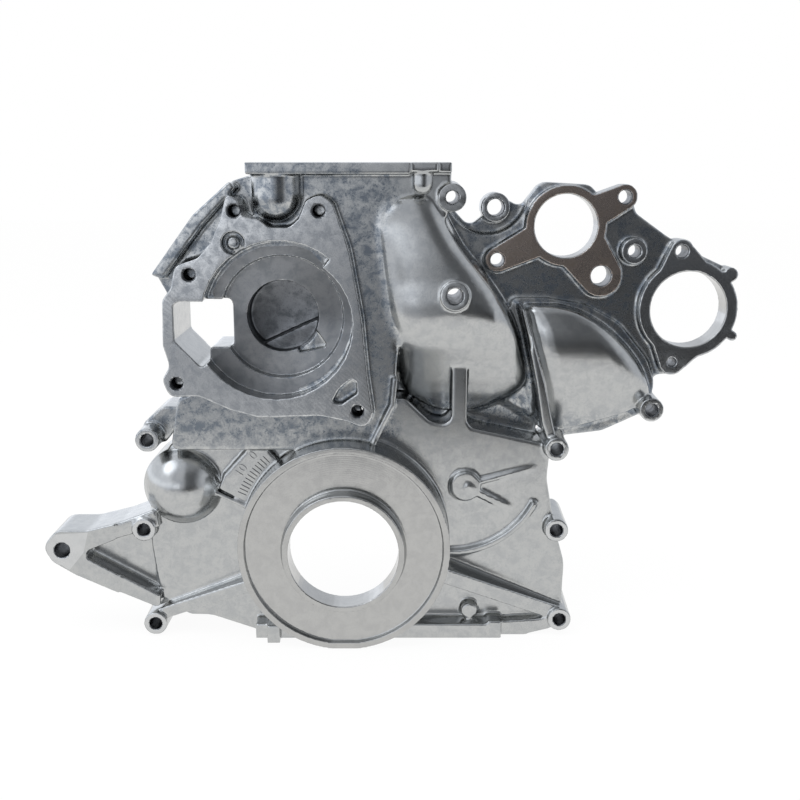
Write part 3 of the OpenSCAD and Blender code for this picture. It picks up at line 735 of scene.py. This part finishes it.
@dataclass
class TimingScale:
    """Raised ticks and plain figures on the cast pad beside the drum."""

    material: bpy.types.Material
    front: float = -42 * MM
    rise: float = 0.8 * MM
    sunk: float = 0.4 * MM
    tick_radius: tuple[float, float] = (75.5 * MM, 82 * MM)
    tick_width: float = 0.9 * MM
    first_angle: float = 133.5
    last_angle: float = 155.5
    ticks: int = 12
    edge_round: float = 0.25 * MM
    figures: tuple[tuple[str, float], ...] = (("0", 136.5), ("10", 145.5))
    figure_size: float = 9 * MM
    figure_radius: float = 87 * MM

    def build(self) -> bpy.types.Object:
        """Model the ticks and the figures.

        Returns:
            One piece with the whole scale.
        """
        bm = bmesh.new()
        for i in range(self.ticks):
            angle = self.first_angle + (self.last_angle - self.first_angle) * i / (self.ticks - 1)
            self._tick(bm, math.radians(angle))
        for figure, angle in self.figures:
            self._figure(bm, figure, math.radians(angle))
        obj = new_object("timing_scale", bm, self.material)
        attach(obj, BODY)
        return obj

    def _tick(self, bm: bmesh.types.BMesh, angle: float) -> None:
        """Add one raised tick that points at the crank axis.

        Args:
            bm: The shape that takes the tick.
            angle: Its angle about the crank axis, counted from the right.
        """
        inner, outer = self.tick_radius
        height = self.rise + self.sunk
        made = bmesh.ops.create_cube(bm, size=1.0)
        bmesh.ops.scale(bm, verts=made["verts"], vec=(outer - inner, height, self.tick_width))
        middle = Vector(((outer + inner) / 2, self.front - self.rise + height / 2, 0))
        bmesh.ops.translate(bm, verts=made["verts"], vec=middle)
        bmesh.ops.rotate(bm, verts=made["verts"], cent=(0, 0, 0), matrix=Matrix.Rotation(-angle, 3, "Y"))
        edges = list({e for v in made["verts"] for e in v.link_edges})
        bmesh.ops.bevel(bm, geom=edges, offset=self.edge_round, affect="EDGES", segments=2, profile=0.5,
                        material=-1)

    def _figure(self, bm: bmesh.types.BMesh, figure: str, angle: float) -> None:
        """Add one raised figure whose top points away from the crank axis.

        Args:
            bm: The shape that takes the figure.
            figure: Its digits.
            angle: Its angle about the crank axis, counted from the right.
        """
        height = self.rise + self.sunk
        curve = bpy.data.curves.new("scale_figure", "FONT")
        curve.body = figure
        curve.size = self.figure_size
        curve.extrude = height / 2
        curve.align_x, curve.align_y = "CENTER", "CENTER"
        holder = bpy.data.objects.new("scale_figure", curve)
        bpy.context.scene.collection.objects.link(holder)
        mesh = bpy.data.meshes.new_from_object(holder.evaluated_get(bpy.context.evaluated_depsgraph_get()))
        bpy.data.objects.remove(holder)
        bpy.data.curves.remove(curve)
        up = Vector((math.cos(angle), 0, math.sin(angle)))
        out = Vector((0, -1, 0))
        turn = Matrix((up.cross(out), up, out)).transposed().to_4x4()
        middle = up * self.figure_radius + out * (self.rise - height / 2 - self.front)
        mesh.transform(Matrix.Translation(middle) @ turn)
        bm.from_mesh(mesh)
        bpy.data.meshes.remove(mesh)
        bmesh.ops.remove_doubles(bm, verts=bm.verts, dist=MERGE)


@dataclass(frozen=True)
class Fade:
    """A smooth change of the tent's cloth along one axis, from a low value at its start to a high one."""

    axis: int
    start: float
    end: float
    low: float = 0.0
    high: float = 1.0


@dataclass
class Studio:
    """White table, studio tent, soft lamp and the camera of the photograph."""

    floor: float
    # Table, which stops in front of the object, and the room round it
    table_front: float = -0.60
    table_size: float = 3.0
    table_shown: float = 0.94
    table_colour: str = "#f4f4f4"
    white: str = "#ffffff"
    room_light: float = 1.0
    # Tent: its cloth at the camera's side, its pale patches and its soft window
    tent_radius: float = 2.6
    tent_segments: tuple[int, int] = (48, 24)
    tent_colour: str = "#edf1f8"
    tent_bright: float = 1.6
    front_cloth: tuple[Fade, ...] = (Fade(2, -0.13, 0.12, 0.20, 0.80), Fade(0, 0.0, 0.15, 1.0, 0.22))
    pale_patches: tuple[tuple[Fade, ...], ...] = (
        # Bright at eye height on the left, and paler below that
        (Fade(0, -0.08, -0.21), Fade(2, -0.10, 0.03), Fade(2, 0.12, 0.30, 1.0, 0.0)),
        (Fade(0, -0.02, -0.08), Fade(2, -0.08, -0.14, high=0.30)),
        # Pale far left, far right, behind and above
        (Fade(0, -0.4, -0.65, high=0.5),),
        (Fade(0, 0.5, 0.85, high=0.5),),
        (Fade(1, -0.35, 0.25, high=0.5),),
        (Fade(2, 0.55, 0.9, high=0.2),),
    )
    window_way: Place = (-0.589, -0.351, 0.727)
    window_edge: tuple[float, float] = (0.93, 0.985)
    window_light: float = 1.8
    # Lamp that gives the object its shadow
    lamp_size: tuple[float, float] = (1.4, 1.0)
    lamp_energy: float = 14.0
    lamp_at: Place = (-0.3, -0.5, 1.5)
    lamp_aim: Place = (0.0, 0.0, 0.05)
    # Camera
    camera_at: Place = (0.0383, -0.763, 0.2593)
    camera_tilt: float = 77.5
    lens_px: float = 1082.0
    image_px: float = 800.0
    sensor_mm: float = 36.0

    def build(self) -> None:
        """Set the table, the tent, the lamp, the world and the camera."""
        self._table()
        self._tent()
        self._lamp()
        self._world()
        self._camera()
        bpy.context.scene.view_settings.view_transform = "Standard"

    @staticmethod
    def _shown_white(tree: bpy.types.NodeTree) -> bpy.types.NodeSocket:
        """Tell what is seen, straight or in a reflection, from the light that falls on things.

        Args:
            tree: The node tree that takes the nodes.

        Returns:
            A socket that is one for camera, glossy and transmission rays.
        """
        path = add_node(tree, "ShaderNodeLightPath").outputs
        shown = path["Is Camera Ray"]
        for ray in ("Is Glossy Ray", "Is Transmission Ray"):
            shown = add_node(tree, "ShaderNodeMath", {0: shown, 1: path[ray]}, operation="MAXIMUM").outputs[0]
        return shown

    def _table(self) -> None:
        """Lay the pale table, which stops in front of the object as a table does."""
        bm = bmesh.new()
        made = bmesh.ops.create_grid(bm, x_segments=1, y_segments=1, size=self.table_size)
        bmesh.ops.translate(bm, verts=made["verts"], vec=(0, self.table_front + self.table_size, self.floor))
        # White painted board, which looks white itself and still takes the object's soft shadow
        material = bpy.data.materials.new("white_table")
        material.use_nodes = True
        tree = material.node_tree
        tree.nodes.clear()
        matt = add_node(tree, "ShaderNodeBsdfDiffuse", {"Color": linear(self.table_colour)})
        glow = add_node(tree, "ShaderNodeEmission", {"Color": linear(self.white), "Strength": 1.0})
        share = add_node(tree, "ShaderNodeMath", {0: self._shown_white(tree), 1: self.table_shown},
                         operation="MULTIPLY")
        mix = add_node(tree, "ShaderNodeMixShader",
                       {0: share.outputs[0], 1: matt.outputs[0], 2: glow.outputs[0]})
        add_node(tree, "ShaderNodeOutputMaterial", {"Surface": mix.outputs[0]})
        new_object("table", bm, material)

    def _tent(self) -> None:
        """Hang the studio tent, which only the metal's reflections see."""
        bm = bmesh.new()
        round_about, up = self.tent_segments
        bmesh.ops.create_uvsphere(bm, u_segments=round_about, v_segments=up, radius=self.tent_radius)
        bmesh.ops.reverse_faces(bm, faces=bm.faces)
        tent = new_object("studio_tent", bm, self._tent_material())
        tent.visible_camera = False
        tent.visible_diffuse = False
        tent.visible_shadow = False
        tent.visible_transmission = False

    @staticmethod
    def _patch(tree: bpy.types.NodeTree, way: bpy.types.NodeSocket,
               fades: tuple[Fade, ...]) -> bpy.types.NodeSocket:
        """Weave one patch of the cloth.

        Args:
            tree: The cloth's node tree.
            way: The direction from the tent's middle.
            fades: The changes that meet in the patch.

        Returns:
            The product of the changes.
        """
        parts = add_node(tree, "ShaderNodeSeparateXYZ", {0: way}).outputs
        eased = [add_node(tree, "ShaderNodeMapRange", {"Value": parts[fade.axis], 1: fade.start, 2: fade.end,
                                                       3: fade.low, 4: fade.high},
                          interpolation_type="SMOOTHSTEP").outputs[0] for fade in fades]
        patch = eased[0]
        for other in eased[1:]:
            patch = add_node(tree, "ShaderNodeMath", {0: patch, 1: other}, operation="MULTIPLY").outputs[0]
        return patch

    def _tent_material(self) -> bpy.types.Material:
        """Make the cloth, dark at the camera's side and pale elsewhere, with one soft window.

        Returns:
            A glowing cloth.
        """
        # White tent cloth lit from outside, which gives the metal soft edged bright and dark fields
        material = bpy.data.materials.new("studio_tent_cloth")
        material.use_nodes = True
        tree = material.node_tree
        tree.nodes.clear()
        place = add_node(tree, "ShaderNodeTexCoord").outputs["Object"]
        way = add_node(tree, "ShaderNodeVectorMath", {0: place}, operation="NORMALIZE").outputs[0]
        pale, *others = (self._patch(tree, way, fades) for fades in self.pale_patches)
        for other in others:
            pale = add_node(tree, "ShaderNodeMath", {0: pale, 1: other}, operation="MAXIMUM").outputs[0]
        cloth = add_node(tree, "ShaderNodeMix",
                         {0: pale, 2: self._patch(tree, way, self.front_cloth), 3: self.tent_bright},
                         data_type="FLOAT").outputs[0]
        window_way = tuple(Vector(self.window_way).normalized())
        near = add_node(tree, "ShaderNodeVectorMath", {0: way, 1: window_way},
                        operation="DOT_PRODUCT").outputs[1]
        start, end = self.window_edge
        window = add_node(tree, "ShaderNodeMapRange", {"Value": near, 1: start, 2: end, 4: self.window_light},
                          interpolation_type="SMOOTHSTEP").outputs[0]
        total = add_node(tree, "ShaderNodeMath", {0: cloth, 1: window}, operation="ADD").outputs[0]
        glow = add_node(tree, "ShaderNodeEmission", {"Color": linear(self.tent_colour), "Strength": total})
        add_node(tree, "ShaderNodeOutputMaterial", {"Surface": glow.outputs[0]})
        return material

    def _lamp(self) -> None:
        """Hang one large soft lamp above the table for the object's shadow."""
        data = bpy.data.lights.new("soft_box", "AREA")
        data.shape = "RECTANGLE"
        data.size, data.size_y = self.lamp_size
        data.energy = self.lamp_energy
        lamp = bpy.data.objects.new("soft_box", data)
        lamp.location = self.lamp_at
        lamp.rotation_euler = (Vector(self.lamp_aim) - lamp.location).to_track_quat("-Z", "Y").to_euler()
        lamp.visible_glossy = False
        bpy.context.scene.collection.objects.link(lamp)

    def _world(self) -> None:
        """Set a plain white surround."""
        world = bpy.data.worlds.new("white_studio")
        bpy.context.scene.world = world
        world.use_nodes = True
        tree = world.node_tree
        tree.nodes.clear()
        back = add_node(tree, "ShaderNodeBackground",
                        {"Color": linear(self.white), "Strength": self.room_light})
        add_node(tree, "ShaderNodeOutputWorld", {"Surface": back.outputs[0]})

    def _camera(self) -> None:
        """Place the camera where the photograph was taken from."""
        data = bpy.data.cameras.new("photo_camera")
        data.sensor_width = self.sensor_mm
        data.lens = self.sensor_mm * self.lens_px / self.image_px
        camera = bpy.data.objects.new("photo_camera", data)
        camera.location = self.camera_at
        camera.rotation_euler = (math.radians(self.camera_tilt), 0, 0)
        bpy.context.scene.collection.objects.link(camera)
        bpy.context.scene.camera = camera


def main() -> None:
    """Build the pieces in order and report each."""
    logging.basicConfig(level=logging.INFO, format="%(name)s: %(message)s")
    pump = mount("pump_stud_1")["pos_m"]
    palette = Palette(crank_axis=(0.0, 0.0, 0.0), pump_axis=(PUMP_AT[0], pump[1], PUMP_AT[1]))
    skin = CastingSkin(palette).build()
    pieces = [
        skin,
        # The threads take the darker bore finish, painted shade inside the tapped holes
        StudThreads(skin.data.materials[palette.index("drilled_aluminium_bore")]).build(),
        TimingScale(skin.data.materials[palette.index("die_cast_aluminium_skin")]).build(),
    ]
    for piece in pieces:
        LOG.info("%s: %d faces", piece.name, len(piece.data.polygons))
    Studio(floor=CAD_BOX[0][2]).build()


if __name__ == "__main__":
    main()
